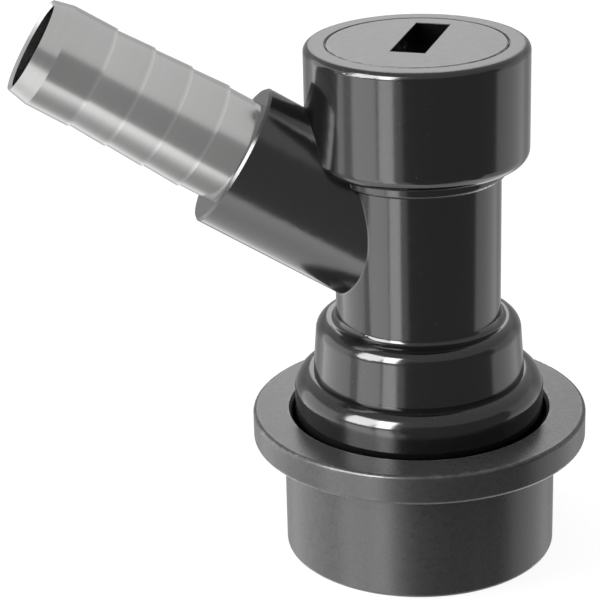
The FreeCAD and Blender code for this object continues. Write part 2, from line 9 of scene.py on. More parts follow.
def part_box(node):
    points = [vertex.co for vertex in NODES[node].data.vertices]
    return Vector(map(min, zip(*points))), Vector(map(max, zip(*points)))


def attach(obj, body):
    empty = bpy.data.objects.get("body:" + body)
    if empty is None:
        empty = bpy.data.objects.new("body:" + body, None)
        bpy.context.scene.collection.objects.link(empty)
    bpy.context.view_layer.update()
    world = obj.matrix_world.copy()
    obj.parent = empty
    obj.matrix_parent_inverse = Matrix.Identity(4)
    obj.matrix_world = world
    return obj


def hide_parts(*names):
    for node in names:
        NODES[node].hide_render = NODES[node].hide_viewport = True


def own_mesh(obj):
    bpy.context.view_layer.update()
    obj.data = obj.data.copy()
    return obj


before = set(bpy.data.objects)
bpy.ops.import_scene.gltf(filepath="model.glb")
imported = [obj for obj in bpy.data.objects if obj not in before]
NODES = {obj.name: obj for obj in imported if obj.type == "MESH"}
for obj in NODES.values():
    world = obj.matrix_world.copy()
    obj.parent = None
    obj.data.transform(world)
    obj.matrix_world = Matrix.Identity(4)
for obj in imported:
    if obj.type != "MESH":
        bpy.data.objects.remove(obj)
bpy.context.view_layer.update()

bl_info = {
    "name": "Quick coupling looks",
    "version": (1, 0, 0),
    "blender": (4, 5, 0),
    "location": "3D View > Sidebar > Coupling",
    "description": "Finishes, springs, studio and camera for a beverage quick coupling",
    "category": "Object",
}

MM = 0.001
BALLS = sorted(name for name in NODES if name.startswith("locking_ball"))
MOULDINGS = ("valve_body", "top_cap", "locking_collar")

# Sizes that the frame's boxes give, in mm
DRUM_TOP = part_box("top_cap")[1].z / MM
CAP_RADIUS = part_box("top_cap")[1].x / MM
COLLAR_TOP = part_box("locking_collar")[1].z / MM
FLANGE_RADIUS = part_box("locking_collar")[1].x / MM

# Sizes of forms that have no box of their own, in mm. Reaches are along the side arm from the body's axis.
DRUM_RADIUS = 11.05
MOUTH_RADIUS = 13.05
MOUTH_CHAMFER = 0.3
SKIRT_RADIUS = 13.85
FLANGE_DEPTH = 3.05
ARM_HEIGHT = 32.0
ARM_ANGLE = math.radians(32)
BOSS_HALF_WIDTH = 5.9
BOSS_HALF_HEIGHT = 7.4
BOSS_DROP = 0.3
BOSS_REACH = 21.4
FIRST_BARB = 24.85
BARB_PITCH = 4.05
LAST_BARB = FIRST_BARB + 3 * BARB_PITCH
TUBE_BORE = 4.3

# Shader values that several materials share
DUST_GAIN = 1.6
GLOSSY_SPECULAR = 0.6
SATIN_SPECULAR = 0.4
SATIN_RELIEF = 0.5

# Studio, in metres and degrees. Each window has a name, two edges to the left of the camera and a strength.
AIM_HEIGHT = 0.03
AIM = Vector((0, 0, AIM_HEIGHT))
LAMP_DISTANCE = 0.8
WINDOWS = (("near_window", 24.0, 38.5, 1.0), ("far_window", 42.0, 68.0, 0.6))
DARK_AZIMUTH = 36


# Properties: every colour, size and level that the scene is built from


def colour(name, description, default):
    """A colour property in linear light."""
    return FloatVectorProperty(
        name=name, description=description, default=default, subtype="COLOR", size=3, min=0, max=1)


def share(name, description, default):
    """A property from 0 to 1."""
    return FloatProperty(
        name=name, description=description, default=default, subtype="FACTOR", min=0, max=1)


def length(name, description, default):
    """A length in metres."""
    return FloatProperty(
        name=name, description=description, default=default, subtype="DISTANCE", unit="LENGTH", precision=5)


def turn(name, description, default):
    """An angle, given in degrees."""
    return FloatProperty(
        name=name, description=description, default=math.radians(default), subtype="ANGLE", unit="ROTATION")


class CouplingFinishes(bpy.types.PropertyGroup):
    """Colours and roughness of the coupling's surfaces"""

    body_colour: colour("Body", "Glossy moulding of the body", (0.003, 0.003, 0.0034))
    # Grey of the satin flat tops, partly the satin finish and partly painted sheen of the light from above;
    # dust and rim wear are lighter gains of it
    satin_sheen_and_dust_colour: colour("Satin faces", "Flat top of the drum and the cap", (0.10, 0.10, 0.102))
    boss_colour: colour("Boss", "Moulding of the side arm", (0.007, 0.007, 0.0074))
    collar_colour: colour("Collar", "Satin moulding of the sliding collar", (0.022, 0.022, 0.0225))
    steel_colour: colour("Steel", "Stainless hose tail", (0.56, 0.56, 0.555))
    rubber_colour: colour("Rubber", "Sealing rings", (0.012, 0.012, 0.012))
    valve_colour: colour("Valve", "Moulding of the poppet", (0.03, 0.03, 0.032))
    spring_colour: colour("Springs", "Spring wire and the retaining ring", (0.35, 0.35, 0.345))
    body_roughness: share("Body roughness", "Roughness of the glossy body", 0.13)
    satin_roughness: share("Satin roughness", "Roughness of the flat top of the drum and the cap", 0.42)
    boss_roughness: share("Boss roughness", "Roughness of the side arm's moulding", 0.17)
    collar_roughness: share("Collar roughness", "Roughness of the collar", 0.28)
    steel_roughness: share("Steel roughness", "Roughness of the hose tail", 0.20)


class CouplingSprings(bpy.types.PropertyGroup):
    """Sizes of the two coil springs"""

    collar_wire: length("Collar spring wire", "Radius of the collar spring's wire", 0.4 * MM)
    collar_turns: IntProperty(
        name="Collar spring turns", description="Turns of the collar spring", default=4, min=2)
    poppet_wire: length("Poppet spring wire", "Radius of the poppet spring's wire", 0.35 * MM)
    poppet_turns: IntProperty(
        name="Poppet spring turns", description="Turns of the poppet spring", default=6, min=2)


class CouplingStudio(bpy.types.PropertyGroup):
    """Camera, floor, room and lamps"""

    camera_distance: length("Camera distance", "From the coupling's axis, level", 216.7 * MM)
    camera_height: length("Camera height", "Above the socket's mouth", 114.0 * MM)
    camera_pitch: turn("Camera pitch", "How far the camera looks down", 21.95)
    camera_yaw: turn("Camera yaw", "How far the camera looks to the left", 3.15)
    camera_roll: turn("Camera roll", "How far the picture is turned", 1.52)
    camera_side: turn("Camera side", "How far the arm leans towards the camera", 9.0)
    lens: FloatProperty(
        name="Lens", description="Focal length", default=139.0, subtype="DISTANCE_CAMERA", unit="CAMERA")
    window_level: FloatProperty(
        name="Window", description="Brightness of the nearer tall window", default=3.3, min=0)
    glint_level: FloatProperty(
        name="Glint", description="Brightness of the windows' upper part in gloss", default=22.0, min=0)
    side_level: FloatProperty(
        name="Side window", description="Brightness of the wide window on the left", default=1.0, min=0)
    fill_level: FloatProperty(
        name="Left fill", description="Brightness of the soft light from the left", default=16.0, min=0)
    back_level: FloatProperty(
        name="Back window", description="Brightness of the window behind the coupling", default=1.8, min=0)
    top_level: FloatProperty(
        name="Top lamp", description="Brightness of the soft lamp above", default=2.2, min=0)
    bounce_level: FloatProperty(
        name="Bounce", description="Brightness of the light that comes up from the floor", default=0.5, min=0)
    ambient_level: FloatProperty(
        name="Ambient", description="Share of the room's light on matt surfaces", default=0.25, min=0)
    dark_level: FloatProperty(
        name="Dark side", description="Brightness of the room right of the camera", default=0.34, min=0)
    sky_level: FloatProperty(
        name="Ceiling", description="Brightness of the room overhead", default=0.75, min=0)
    low_level: FloatProperty(
        name="Low room", description="Brightness of the room below the coupling", default=1.25, min=0)
    backdrop_level: FloatProperty(
        name="Backdrop", description="Brightness low down behind the coupling", default=0.55, min=0)
    ground_level: FloatProperty(
        name="Ground", description="Brightness straight below the coupling", default=0.4, min=0)
    floor_glow: share("Floor glow", "Share of the floor's white that holds in shadow", 0.9)


# Node trees: the shared effects and the materials


class Graph:
    """A node tree that is built one node at a time."""

    def __init__(self, tree):
        self.tree = tree
        tree.nodes.clear()

    def fill(self, socket, source):
        """Link a socket, or set its plain value."""
        if isinstance(source, bpy.types.NodeSocket):
            self.tree.links.new(source, socket)
        else:
            socket.default_value = source

    def add(self, kind, inputs=(), **settings):
        """A new node with its settings and inputs, the inputs by name or number."""
        node = self.tree.nodes.new(kind)
        for key, setting in settings.items():
            setattr(node, key, setting)
        for key, source in dict(inputs).items():
            self.fill(node.inputs[key], source)
        return node

    def math(self, operation, first, second=0.0, clamp=False):
        """The result of a Math node."""
        return self.add(
            "ShaderNodeMath", {0: first, 1: second}, operation=operation, use_clamp=clamp).outputs[0]

    def ramp(self, source, low, high, bottom=0.0, top=1.0):
        """Smooth change from bottom to top as the source goes from low to high."""
        inputs = {"Value": source, "From Min": low, "From Max": high, "To Min": bottom, "To Max": top}
        return self.add("ShaderNodeMapRange", inputs, interpolation_type="SMOOTHSTEP").outputs[0]

    def mix(self, factor, first, second):
        """A blend of two values."""
        node = self.add("ShaderNodeMix", {"Factor": factor, "A": first, "B": second}, data_type="FLOAT")
        return node.outputs[0]

    def blend(self, factor, first, second):
        """A blend of two colours."""
        node = self.add("ShaderNodeMix", {"Factor": factor}, data_type="RGBA")
        self.fill(node.inputs[6], first)
        self.fill(node.inputs[7], second)
        return node.outputs[2]

    def noise(self, vector, scale, detail=3.0, roughness=0.55):
        """Noise from 0 to 1 on a vector."""
        inputs = {"Vector": vector, "Scale": scale, "Detail": detail, "Roughness": roughness}
        return self.add("ShaderNodeTexNoise", inputs).outputs[0]

    def bump(self, height, strength=0.35, distance=0.05):
        """A normal that follows a height, over a distance in mm. Left out, its values are the mouldings'."""
        inputs = {"Height": height, "Strength": strength, "Distance": distance * MM}
        return self.add("ShaderNodeBump", inputs).outputs[0]

    def shades(self, factor, colour_of, dark, light):
        """A colour that goes from its darker to its lighter gain as the factor goes from 0 to 1."""
        return self.blend(factor, solid(colour_of, dark), solid(colour_of, light))

    def find(self, kind):
        """The first node of a type."""
        return next(node for node in self.tree.nodes if node.type == kind)

    def group(self, name, **inputs):
        """A copy of a shared effect with its own values."""
        node = self.tree.nodes.new("ShaderNodeGroup")
        node.node_tree = bpy.data.node_groups[name]
        for key, source in inputs.items():
            self.fill(node.inputs[key.replace("_", " ").capitalize()], source)
        return node


def effect(name, inputs, outputs):
    """An empty shader node group, with its input node and a function that sets its outputs."""
    tree = bpy.data.node_groups.new(name, "ShaderNodeTree")
    graph = Graph(tree)
    for label, default in inputs.items():
        kind = "NodeSocketVector" if default is None else "NodeSocketFloat"
        socket = tree.interface.new_socket(label, in_out="INPUT", socket_type=kind)
        if default is not None:
            socket.default_value = default
    for label, kind in outputs.items():
        tree.interface.new_socket(label, in_out="OUTPUT", socket_type=kind)
    given = graph.add("NodeGroupInput").outputs
    result = graph.add("NodeGroupOutput").inputs

    def finish(**sources):
        for label, source in sources.items():
            graph.fill(result[label], source)

    return graph, given, finish


def make_place():
    """Place on the object: the point in mm, its distance from the coupling's axis and its height."""
    outputs = {"Point": "NodeSocketVector", "Radius": "NodeSocketFloat", "Height": "NodeSocketFloat"}
    graph, _, finish = effect("Place", {}, outputs)
    coordinates = graph.add("ShaderNodeTexCoord").outputs["Object"]
    scaled = graph.add(
        "ShaderNodeVectorMath", {0: coordinates, "Scale": 1 / MM}, operation="SCALE").outputs[0]
    parts = graph.add("ShaderNodeSeparateXYZ", {0: scaled}).outputs
    level = graph.add("ShaderNodeCombineXYZ", {0: parts[0], 1: parts[1]}).outputs[0]
    radius = graph.add("ShaderNodeVectorMath", {0: level}, operation="LENGTH").outputs["Value"]
    finish(Point=scaled, Radius=radius, Height=parts[2])


def make_grain():
    """Moulded grain: coarse waviness and fine grain as a height, with a mottle from 0 to 1."""
    inputs = {"Point": None, "Grain": 9.0, "Wave": 0.35, "Coarse share": 0.3}
    outputs = {"Height": "NodeSocketFloat", "Mottle": "NodeSocketFloat"}
    graph, given, finish = effect("Moulded grain", inputs, outputs)
    fine = graph.noise(given["Point"], given["Grain"], detail=4.0, roughness=0.65)
    wave = graph.noise(given["Point"], given["Wave"], detail=1.0)
    mottle = graph.noise(given["Point"], 1.3, detail=4.0, roughness=0.6)
    finish(Height=graph.mix(given["Coarse share"], fine, wave), Mottle=graph.ramp(mottle, 0.3, 0.7))


def make_rim_wear():
    """Wear along a round edge, broken up: 1 on the circle of that radius and height, less over the width."""
    inputs = {"Point": None, "Distance": 10.0, "Level": 10.0, "Rim": 10.0, "Rim height": 10.0, "Width": 0.4}
    graph, given, finish = effect("Rim wear", inputs, {"Mask": "NodeSocketFloat"})
    across = graph.math("SUBTRACT", given["Distance"], given["Rim"])
    up = graph.math("SUBTRACT", given["Level"], given["Rim height"])
    squares = graph.math("ADD", graph.math("POWER", across, 2), graph.math("POWER", up, 2))
    gap = graph.math("SQRT", squares)
    near = graph.math("SUBTRACT", 1.0, graph.math("DIVIDE", gap, given["Width"]), clamp=True)
    breaks = graph.ramp(graph.noise(given["Point"], 0.9, detail=5.0, roughness=0.7), 0.42, 0.62)
    finish(Mask=graph.math("MULTIPLY", near, breaks))


def make_dust():
    """Specks of dust: small rare dots, from 0 to 1."""
    graph, given, finish = effect("Dust", {"Point": None, "Amount": 0.2}, {"Mask": "NodeSocketFloat"})
    specks = graph.add("ShaderNodeTexVoronoi", {"Vector": given["Point"], "Scale": 2.2}).outputs["Distance"]
    clumps = graph.noise(given["Point"], 0.5, detail=3.0)
    dots = graph.math("MULTIPLY", graph.ramp(specks, 0.16, 0.05), graph.ramp(clumps, 0.45, 0.65))
    finish(Mask=graph.math("MULTIPLY", dots, given["Amount"]))


def make_turned_lines():
    """Fine lines left by a lathe: bands across one axis as a height, with broader streaks from 0 to 1."""
    inputs = {"Along": 0.0, "Around": None, "Fineness": 14.0}
    outputs = {"Height": "NodeSocketFloat", "Streaks": "NodeSocketFloat"}
    graph, given, finish = effect("Turned lines", inputs, outputs)
    line = graph.math("MULTIPLY", given["Along"], given["Fineness"])
    drift = graph.noise(given["Around"], 0.25, detail=1.0)
    place = graph.add("ShaderNodeCombineXYZ", {0: line, 1: drift}).outputs[0]
    fine = graph.noise(place, 1.0, detail=3.0, roughness=0.7)
    broad = graph.noise(place, 0.12, detail=3.0, roughness=0.6)
    finish(Height=fine, Streaks=graph.ramp(broad, 0.35, 0.65))


def new_material(name):
    """A material with a Principled shader, and the graph to build the rest of it."""
    material = bpy.data.materials.new(name)
    material.use_nodes = True
    graph = Graph(material.node_tree)
    shader = graph.add("ShaderNodeBsdfPrincipled")
    output = graph.add("ShaderNodeOutputMaterial")
    graph.fill(output.inputs["Surface"], shader.outputs["BSDF"])
    return material, graph, shader.inputs


def solid(colour_of, gain=1.0):
    """Red, green, blue and alpha of a colour property, made lighter by the gain."""
    return (*(min(1.0, part * gain) for part in colour_of), 1.0)


def dress(nodes, material):
    """Give CAD nodes one material."""
    for name in nodes:
        mesh = NODES[name].data
        mesh.materials.clear()
        mesh.materials.append(material)


def grained_material(name, grain):
    """A material with a moulded grain: its graph, its shader's inputs, the place on the object, the grain."""
    material, graph, shader = new_material(name)
    place = graph.group("Place").outputs
    grained = graph.group("Moulded grain", point=place["Point"], grain=grain).outputs
    return material, graph, shader, place, grained


def rim_wear(graph, place, radius, height, width):
    """Wear along the object's edge of that radius and height, in mm."""
    return graph.group("Rim wear", point=place["Point"], distance=place["Radius"], level=place["Height"],
                       rim=radius, rim_height=height, width=width).outputs["Mask"]


def arm_place(graph, point, drop=0.0, flatness=1.0):
    """Reach along the side arm and distance from its axis, in mm, of a point in mm.

    The axis may lie lower by the drop, and the side distance count for more by the flatness.
    """
    parts = graph.add("ShaderNodeSeparateXYZ", {0: point}).outputs
    rise = graph.math("SUBTRACT", parts[2], ARM_HEIGHT)
    reach = graph.math("SUBTRACT", graph.math("MULTIPLY", rise, math.sin(ARM_ANGLE)),
                       graph.math("MULTIPLY", parts[0], math.cos(ARM_ANGLE)))
    offset = graph.math("ADD", graph.math("MULTIPLY", rise, math.cos(ARM_ANGLE)),
                        graph.math("MULTIPLY", parts[0], math.sin(ARM_ANGLE)))
    offset = graph.math("ADD", offset, drop)
    side = graph.math("MULTIPLY", parts[1], flatness)
    squares = graph.math("ADD", graph.math("POWER", offset, 2), graph.math("POWER", side, 2))
    return reach, graph.math("SQRT", squares)


def body_finish(finishes):
    """Glossy black moulding, with a satin flat top whose lighter grey is partly painted sheen, and a paler,
    slightly rougher boss.
    """
    glossy_relief, boss_relief, boss_specular = 0.012, 0.12, 0.9
    material, graph, shader, place, grain = grained_material("moulded_body", 7.0)
    reach, away = arm_place(graph, place["Point"], BOSS_DROP, BOSS_HALF_HEIGHT / BOSS_HALF_WIDTH)
    off_skin = graph.math("ABSOLUTE", graph.math("SUBTRACT", away, BOSS_HALF_HEIGHT))
    skin = graph.ramp(off_skin, 0.2, 0.08)
    face = graph.ramp(reach, BOSS_REACH - 0.3, BOSS_REACH - 0.1)
    off_axis = graph.ramp(reach, 2.0, 3.0)
    boss = graph.math("MULTIPLY", graph.math("MAXIMUM", skin, face), off_axis)
    flat = graph.ramp(place["Height"], DRUM_TOP - 0.06, DRUM_TOP - 0.01)
    wear = rim_wear(graph, place, DRUM_RADIUS, DRUM_TOP, width=0.9)
    # Painted sheen: the drum's satin flat top is a lighter grey than the glossy walls of the same moulding
    base = graph.blend(flat, solid(finishes.body_colour), solid(finishes.satin_sheen_and_dust_colour))
    base = graph.blend(boss, base, graph.shades(grain["Mottle"], finishes.boss_colour, 0.85, 1.2))
    dust = graph.group("Dust", point=place["Point"], amount=0.25).outputs["Mask"]
    graph.fill(shader["Base Color"], graph.blend(dust, base, solid(finishes.satin_sheen_and_dust_colour, DUST_GAIN)))
    gloss = graph.mix(grain["Mottle"], finishes.body_roughness * 0.85, finishes.body_roughness * 1.15)
    rough = graph.mix(flat, gloss, finishes.satin_roughness)
    rough = graph.mix(boss, rough, finishes.boss_roughness)
    graph.fill(shader["Roughness"], graph.math("ADD", rough, graph.math("MULTIPLY", wear, 0.12)))
    relief = graph.mix(boss, graph.mix(flat, glossy_relief, SATIN_RELIEF), boss_relief)
    graph.fill(shader["Normal"], graph.bump(graph.math("MULTIPLY", grain["Height"], relief)))
    specular = graph.mix(boss, graph.mix(flat, GLOSSY_SPECULAR, SATIN_SPECULAR), boss_specular)
    graph.fill(shader["Specular IOR Level"], specular)
    return material


def cap_finish(finishes):
    """Satin cap top, its grey partly the satin finish and partly painted sheen of the light from above, with
    glossy black walls down its slot.
    """
    wall_relief, wall_roughness = 0.05, 0.16
    material, graph, shader, place, grain = grained_material("moulded_cap", 8.0)
    flat = graph.ramp(place["Height"], DRUM_TOP - 0.12, DRUM_TOP - 0.02)
    wear = rim_wear(graph, place, CAP_RADIUS, DRUM_TOP, width=0.4)
    # Painted sheen: the cap's satin flat top is grey, lighter than its black slot walls
    base = graph.shades(grain["Mottle"], finishes.satin_sheen_and_dust_colour, 0.92, 1.08)
    base = graph.blend(flat, solid(finishes.body_colour), base)
    graph.fill(shader["Base Color"], graph.blend(wear, base, solid(finishes.satin_sheen_and_dust_colour, 1.8)))
    graph.fill(shader["Roughness"], graph.mix(flat, wall_roughness, finishes.satin_roughness))
    relief = graph.mix(flat, wall_relief, SATIN_RELIEF)
    graph.fill(shader["Normal"], graph.bump(graph.math("MULTIPLY", grain["Height"], relief)))
    graph.fill(shader["Specular IOR Level"], graph.mix(flat, GLOSSY_SPECULAR, SATIN_SPECULAR))
    return material


def collar_finish(finishes):
    """Satin black moulding with handled, slightly polished rims."""
    collar_relief, roughness_spread = 0.3, 0.015
    material, graph, shader, place, grain = grained_material("moulded_collar", 6.0)
    rims = ((FLANGE_RADIUS, COLLAR_TOP, 0.7), (FLANGE_RADIUS, COLLAR_TOP - FLANGE_DEPTH, 0.6),
            (SKIRT_RADIUS, 0.0, 0.7), (MOUTH_RADIUS + MOUTH_CHAMFER, COLLAR_TOP, 0.3))
    wear = 0.0
    for radius, height, width in rims:
        wear = graph.math("MAXIMUM", wear, rim_wear(graph, place, radius, height, width))
    base = graph.shades(grain["Mottle"], finishes.collar_colour, 0.93, 1.07)
    dust = graph.group("Dust", point=place["Point"], amount=0.35).outputs["Mask"]
    base = graph.blend(dust, base, solid(finishes.satin_sheen_and_dust_colour, DUST_GAIN))
    graph.fill(shader["Base Color"], graph.blend(wear, base, solid(finishes.collar_colour, 2.4)))
    rough = graph.mix(grain["Mottle"], finishes.collar_roughness - roughness_spread,
                      finishes.collar_roughness + roughness_spread)
    graph.fill(shader["Roughness"], graph.math("SUBTRACT", rough, graph.math("MULTIPLY", wear, 0.1)))
    graph.fill(shader["Normal"], graph.bump(graph.math("MULTIPLY", grain["Height"], collar_relief)))
    return material


def steel_finish(finishes):
    """Turned stainless steel with lines round the tube; each barb has painted shade along its length and a
    painted highlight along its crest, and the bore has painted shade.
    """
    painted_shade_share, roughness_spread = 0.8, 0.005
    material, graph, shader = new_material("stainless_tail")
    place = graph.group("Place").outputs
    reach, away = arm_place(graph, place["Point"])
    lines = graph.group("Turned lines", along=reach, around=place["Point"]).outputs
    barbs = graph.math("DIVIDE", graph.math("SUBTRACT", reach, FIRST_BARB), BARB_PITCH)
    along_barb = graph.math("FRACT", barbs)
    barbed = graph.ramp(reach, LAST_BARB + 0.5, LAST_BARB + 0.4)
    # Painted highlight: a lighter band along each barb's crest
    painted_crest_highlight = graph.math("MULTIPLY", graph.ramp(along_barb, 0.13, 0.02), barbed)
    # Painted shade: each barb goes from darker to lighter along its length, mixed below with the real turning
    # streaks
    painted_barb_shade = graph.math("MULTIPLY", graph.math("MULTIPLY", along_barb, barbed), painted_shade_share)
    streaks_and_painted_shade = graph.math("ADD", painted_barb_shade, graph.math("MULTIPLY", lines["Streaks"], 1 - painted_shade_share))
    tone = graph.shades(streaks_and_painted_shade, finishes.steel_colour, 0.94, 1.04)
    tone = graph.blend(painted_crest_highlight, tone, solid(finishes.steel_colour, 1.18))
    # Painted shade: the steel is darker inside the bore
    painted_bore_shade = graph.ramp(away, TUBE_BORE + 0.15, TUBE_BORE)
    graph.fill(shader["Base Color"], graph.blend(painted_bore_shade, tone, solid(finishes.steel_colour, 0.75)))
    rough = graph.mix(lines["Streaks"], finishes.steel_roughness - roughness_spread,
                      finishes.steel_roughness + roughness_spread)
    graph.fill(shader["Roughness"], rough)
    shader["Metallic"].default_value = 1.0
    graph.fill(shader["Normal"], graph.bump(lines["Height"], strength=0.01, distance=0.01))
    return material


def bright_metal(name, colour_of, roughness):
    """Bright drawn or ground steel with a fine haze."""
    material, graph, shader, _, grain = grained_material(name, 5.0)
    graph.fill(shader["Base Color"], graph.shades(grain["Mottle"], colour_of, 0.85, 1.1))
    graph.fill(shader["Roughness"], graph.mix(grain["Mottle"], roughness * 0.8, roughness * 1.2))
    shader["Metallic"].default_value = 1.0
    graph.fill(shader["Normal"], graph.bump(grain["Height"], strength=0.1, distance=0.02))
    return material


def dull_moulding(name, colour_of, roughness):
    """Matt rubber or plastic with a fine grain."""
    material, graph, shader, _, grain = grained_material(name, 10.0)
    graph.fill(shader["Base Color"], graph.shades(grain["Mottle"], colour_of, 0.8, 1.25))
    graph.fill(shader["Roughness"], graph.mix(grain["Mottle"], roughness - 0.06, roughness + 0.06))
    graph.fill(shader["Normal"], graph.bump(grain["Height"], strength=0.3, distance=0.04))
    return material


# Springs: wound wire in place of the plain coils


def coil(name, radius, wire, turns, bottom, top):
    """A coil spring with closed ends.

    The wire's centre goes round the axis at the mean radius. Its height climbs evenly over the
    middle turns and hardly at all over the first and last three quarters of a turn, where the
    coil lies against its seat. The surface is a circle of the wire's radius carried square to
    that line: centre + wire * (cos v * outward + sin v * upward), closed by a point at each end.
    """
    steps, around, rest, easing, seat_rise = 40 * turns, 14, 0.75, 0.15, 0.05
    angle = np.linspace(0, 2 * np.pi * turns, steps + 1)
    climbing = np.clip((angle / (2 * np.pi) - rest) / (turns - 2 * rest), 0, 1)
    share_up = (1 - easing) * climbing + easing * climbing**2 * (3 - 2 * climbing)
    seat = seat_rise * angle / angle[-1]
    height = bottom + wire + (top - bottom - 2 * wire) * ((1 - seat_rise) * share_up + seat)
    centre = np.stack([radius * np.cos(angle), radius * np.sin(angle), height], axis=1)
    along = np.gradient(centre, axis=0)
    along /= np.linalg.norm(along, axis=1, keepdims=True)
    outward = np.stack([np.cos(angle), np.sin(angle), 0 * angle], axis=1)
    upward = np.cross(outward, along)
    v = np.linspace(0, 2 * np.pi, around, endpoint=False)
    circle = np.cos(v)[:, None] * outward[:, None] + np.sin(v)[:, None] * upward[:, None]
    rings = centre[:, None] + wire * circle
    points = np.concatenate([rings.reshape(-1, 3), centre[:1], centre[-1:]])
    first = np.arange(steps)[:, None] * around + np.arange(around)
    beside = np.arange(steps)[:, None] * around + (np.arange(around) + 1) % around
    quads = np.stack([first, first + around, beside + around, beside], axis=-1).reshape(-1, 4)
    start, end = len(points) - 2, len(points) - 1
    ring = np.arange(around)
    after = (ring + 1) % around
    last = steps * around
    caps = [np.stack([np.full(around, start), ring, after], axis=1),
            np.stack([np.full(around, end), last + after, last + ring], axis=1)]
    faces = quads.tolist() + caps[0].tolist() + caps[1].tolist()
    mesh = bpy.data.meshes.new(name)
    mesh.from_pydata(points, [], faces)
    mesh.update()
    mesh.shade_smooth()
    spring = bpy.data.objects.new(name, mesh)
    bpy.context.scene.collection.objects.link(spring)
    return spring


def stand_in_spring(node, name, wire, turns):
    """A round wire spring in place of a CAD node, hung on the housing."""
    low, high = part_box(node)
    radius = (high.x - low.x) / 2 - wire
    spring = coil(name, radius, wire, turns, low.z, high.z)
    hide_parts(node)
    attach(spring, "housing")
    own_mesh(spring)
    return spring


# Studio: camera, floor, room and lamps


def lamp(name, centre, width, height, level, gloss, diffuse, only=None):
    """A rectangular lamp of a given brightness that faces the coupling.

    It shows in glossy surfaces, on matt ones or on both, and only on those of a collection if one is given.
    Its power is pi times its brightness times its area.
    """
    data = bpy.data.lights.new(name, "AREA")
    data.shape = "RECTANGLE"
    data.size, data.size_y = width, height
    data.energy = math.pi * level * width * height
    light = bpy.data.objects.new(name, data)
    light.location = centre
    light.rotation_euler = (AIM - centre).to_track_quat("-Z", "Y").to_euler()
    light.visible_camera = False
    light.visible_glossy = gloss
    light.visible_diffuse = diffuse
    if only:
        light.light_linking.receiver_collection = only
    bpy.context.scene.collection.objects.link(light)


def beside_camera(studio, azimuth, elevation, distance):
    """The place at an azimuth to the right of the camera and an elevation, in degrees, from the coupling."""
    heading = -math.pi / 2 - studio.camera_side + math.radians(azimuth)
    rise = math.radians(elevation)
    level = distance * math.cos(rise)
    height = AIM_HEIGHT + distance * math.sin(rise)
    return Vector((level * math.cos(heading), level * math.sin(heading), height))


def make_camera(studio):
    """The camera of the photograph's view."""
    data = bpy.data.cameras.new("view")
    data.lens = studio.lens
    data.sensor_width = 36
    data.clip_start, data.clip_end = 0.01, 20
    yaw, pitch, roll = -studio.camera_yaw, studio.camera_pitch, -studio.camera_roll
    ahead = Vector((math.sin(yaw) * math.cos(pitch), math.cos(yaw) * math.cos(pitch), -math.sin(pitch)))
    right = Vector((math.cos(yaw), -math.sin(yaw), 0))
    up = right.cross(ahead)
    rolled_right = math.cos(roll) * right + math.sin(roll) * up
    rolled_up = math.cos(roll) * up - math.sin(roll) * right
    aim = Matrix((rolled_right, rolled_up, -ahead)).transposed().to_4x4()
    stand = Matrix.Translation((0, -studio.camera_distance, studio.camera_height))
    camera = bpy.data.objects.new("view", data)
    camera.matrix_world = Matrix.Rotation(-studio.camera_side, 4, "Z") @ stand @ aim
    bpy.context.scene.collection.objects.link(camera)
    bpy.context.scene.camera = camera


def make_floor(studio):
    """A pale floor that shows a soft shadow, its white held by its own glow. From below it is clear."""
    half, gap, glow_strength = 1.5, 0.05 * MM, 1.03
    mesh = bpy.data.meshes.new("floor")
    corners = [(-half, -half), (half, -half), (half, half), (-half, half)]
    mesh.from_pydata([(x, y, -gap) for x, y in corners], [], [(0, 1, 2, 3)])
    floor = bpy.data.objects.new("floor", mesh)
    bpy.context.scene.collection.objects.link(floor)
    material, graph, shader, _, grain = grained_material("pale_floor", 1.0)
    graph.fill(shader["Base Color"], graph.blend(grain["Mottle"], (0.98, 0.98, 0.98, 1), (1.0, 1.0, 1.0, 1)))
    shader["Roughness"].default_value = 0.9
    shader["Specular IOR Level"].default_value = 0.0
    matt = graph.find("BSDF_PRINCIPLED").outputs[0]
    glow = graph.add("ShaderNodeEmission", {"Color": (1, 1, 1, 1), "Strength": glow_strength}).outputs[0]
    above = graph.add("ShaderNodeMixShader", {0: studio.floor_glow, 1: matt, 2: glow}).outputs[0]
    from_below = graph.add("ShaderNodeNewGeometry").outputs["Backfacing"]
    clear = graph.add("ShaderNodeBsdfTransparent").outputs[0]
    surface = graph.add("ShaderNodeMixShader", {0: from_below, 1: above, 2: clear}).outputs[0]
    graph.fill(graph.find("OUTPUT_MATERIAL").inputs["Surface"], surface)
    mesh.materials.append(material)
    floor.visible_glossy = False
    floor.visible_diffuse = False
    floor.visible_shadow = False


